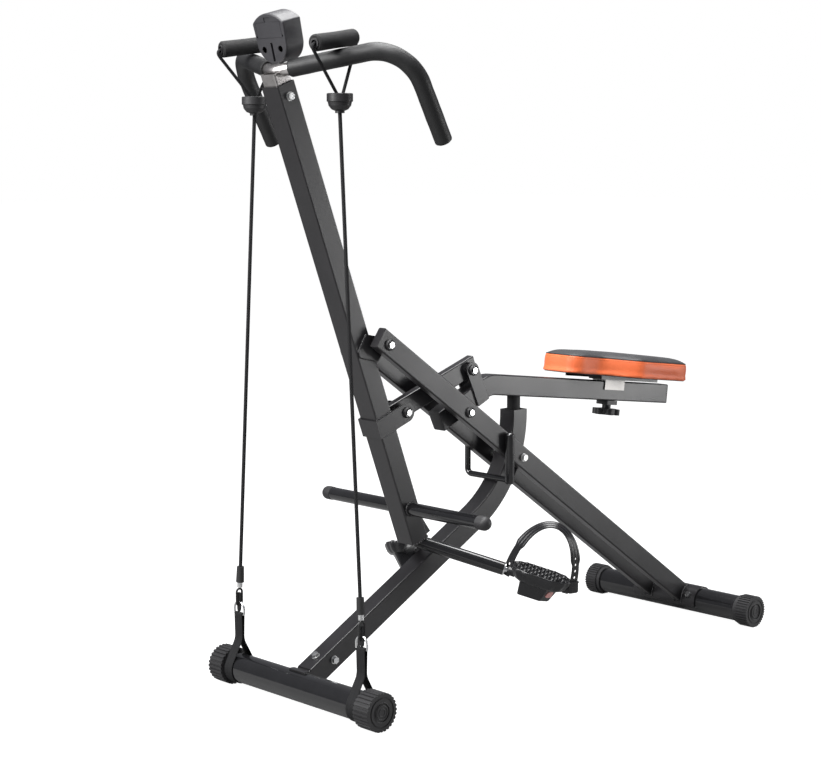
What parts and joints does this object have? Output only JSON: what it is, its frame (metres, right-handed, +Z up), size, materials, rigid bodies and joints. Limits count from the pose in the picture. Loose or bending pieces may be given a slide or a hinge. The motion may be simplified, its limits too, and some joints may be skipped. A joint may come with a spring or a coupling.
{
  "type": "squat and row ride machine",
  "caption": "Ride-style squat and row machine: swinging mast with handlebar, pedals and pull ropes, linked to a lifting seat on a bolted tube frame.",
  "frame": {"origin": "on the floor, under the middle of the machine's length and width", "axes": "+X to the rear, along the machine, +Y to the rider's right when seated facing the handlebar, +Z up"},
  "size_m": [1.2986, 0.553, 1.3784],
  "materials": {
    "powder_black": "satin powder coat",
    "gloss_black": "gloss paint",
    "zinc_bolts": "bright zinc",
    "zinc_plate": "satin zinc",
    "steel_tube": "bare drawn tube",
    "cap_plastic": "moulded, fine texture",
    "case_plastic": "moulded case",
    "screen_glass": "clear window over the display",
    "button_plastic": "gloss",
    "stop_rubber": "matt",
    "foam_black": "closed-cell foam",
    "rope_black": "braided sheath",
    "webbing_black": "woven tape",
    "pedal_plastic": "moulded",
    "seat_vinyl": "orange side, black top",
    "board_black": "black-painted board"
  },
  "bodies": {
    "frame": {"front_crossbar": "gloss_black", "front_cap_near": "cap_plastic", "front_cap_far": "cap_plastic", "front_stub": "powder_black", "frame_tube": "powder_black", "frame_bolts": "zinc_bolts", "stop_bumper": "stop_rubber", "beam_near": "powder_black", "beam_far": "powder_black", "beam_spacers": "zinc_bolts", "rear_crossbar": "gloss_black", "rear_cap_near": "cap_plastic", "rear_cap_far": "cap_plastic", "rear_saddle": "powder_black", "hook_bar": "powder_black", "pivot_bolts": "zinc_bolts", "bar_strap_near": "webbing_black", "bar_strap_far": "webbing_black", "d_rings": "zinc_bolts", "rope_ferrules": "zinc_bolts", "rope_sleeves": "stop_rubber", "rope_near": "rope_black", "rope_far": "rope_black"},
    "mast": {"mast_tube": "powder_black", "mast_stem": "steel_tube", "mast_hinge": "powder_black", "link_collar": "powder_black", "mast_bolts": "zinc_bolts", "peg_bar": "gloss_black", "pedal_tube": "gloss_black", "pedal_axles": "zinc_bolts", "handlebar": "steel_tube", "handle_foam_near": "foam_black", "handle_foam_far": "foam_black", "console_back": "case_plastic", "console_front": "case_plastic", "console_screen": "screen_glass", "console_stalk": "powder_black", "pull_foam_near": "foam_black", "pull_foam_far": "foam_black", "pull_cores": "cap_plastic", "pull_cord_near": "rope_black", "pull_cord_far": "rope_black", "pull_cups": "cap_plastic"},
    "rocker": {"rocker_tube": "powder_black", "rocker_ears": "powder_black", "link_bolt": "zinc_bolts", "seat_beam": "powder_black", "seat_beam_plug": "cap_plastic"},
    "link": {"link_bar": "powder_black"},
    "seat_slider": {"slider_plates": "zinc_plate", "seat_bracket": "powder_black", "seat_board": "board_black", "seat_pad": "seat_vinyl"},
    "clamp_knob": {"clamp_knob": "cap_plastic"},
    "pedal_near": {"pedal_near": "pedal_plastic", "toe_strap_near": "pedal_plastic"},
    "pedal_far": {"pedal_far": "pedal_plastic", "toe_strap_far": "pedal_plastic"},
    "console_button": {"console_button": "button_plastic"}
  },
  "joints": [
    {"name": "mast_swing", "type": "hinge", "parent": "frame", "child": "mast", "pos_m": [-0.37267, 0, 0.72], "axis": [0, 1, 0], "range_deg": [0, 13], "deforming": ["rope_near", "rope_far"]},
    {"name": "seat_lift", "type": "hinge", "parent": "frame", "child": "rocker", "pos_m": [-0.14344, 0, 0.56096], "axis": [0, 1, 0], "range_deg": [-28.95, 0]},
    {"name": "link_swing", "type": "hinge", "parent": "mast", "child": "link", "pos_m": [-0.29917, 0, 0.57246], "axis": [0, 1, 0], "range_deg": [-20.8, 0]},
    {"name": "seat_slide", "type": "slide", "parent": "rocker", "child": "seat_slider", "axis": [0.993, 0, -0.1184], "range_m": [-0.06, 0.04]},
    {"name": "clamp_turn", "type": "hinge", "parent": "seat_slider", "child": "clamp_knob", "pos_m": [0.36391, 0, 0.55988], "axis": [0.1184, 0, 0.993], "range_deg": [0, 720]},
    {"name": "pedal_near_turn", "type": "hinge", "parent": "mast", "child": "pedal_near", "pos_m": [-0.08364, -0.20386, 0.2142], "axis": [0.6106, -0.7386, -0.2856], "continuous": true},
    {"name": "pedal_far_turn", "type": "hinge", "parent": "mast", "child": "pedal_far", "pos_m": [-0.08364, 0.20386, 0.2142], "axis": [0.6106, 0.7386, -0.2856], "continuous": true},
    {"name": "button_press", "type": "slide", "parent": "mast", "child": "console_button", "axis": [-0.9677, 0, -0.2521], "range_m": [0, 0.0015], "stiffness_N_per_m": 600}
  ],
  "couplings": [
    {"joint": "seat_lift", "follows": "mast_swing", "ratio": -2.2244},
    {"joint": "link_swing", "follows": "mast_swing", "ratio": -1.5894}
  ]
}
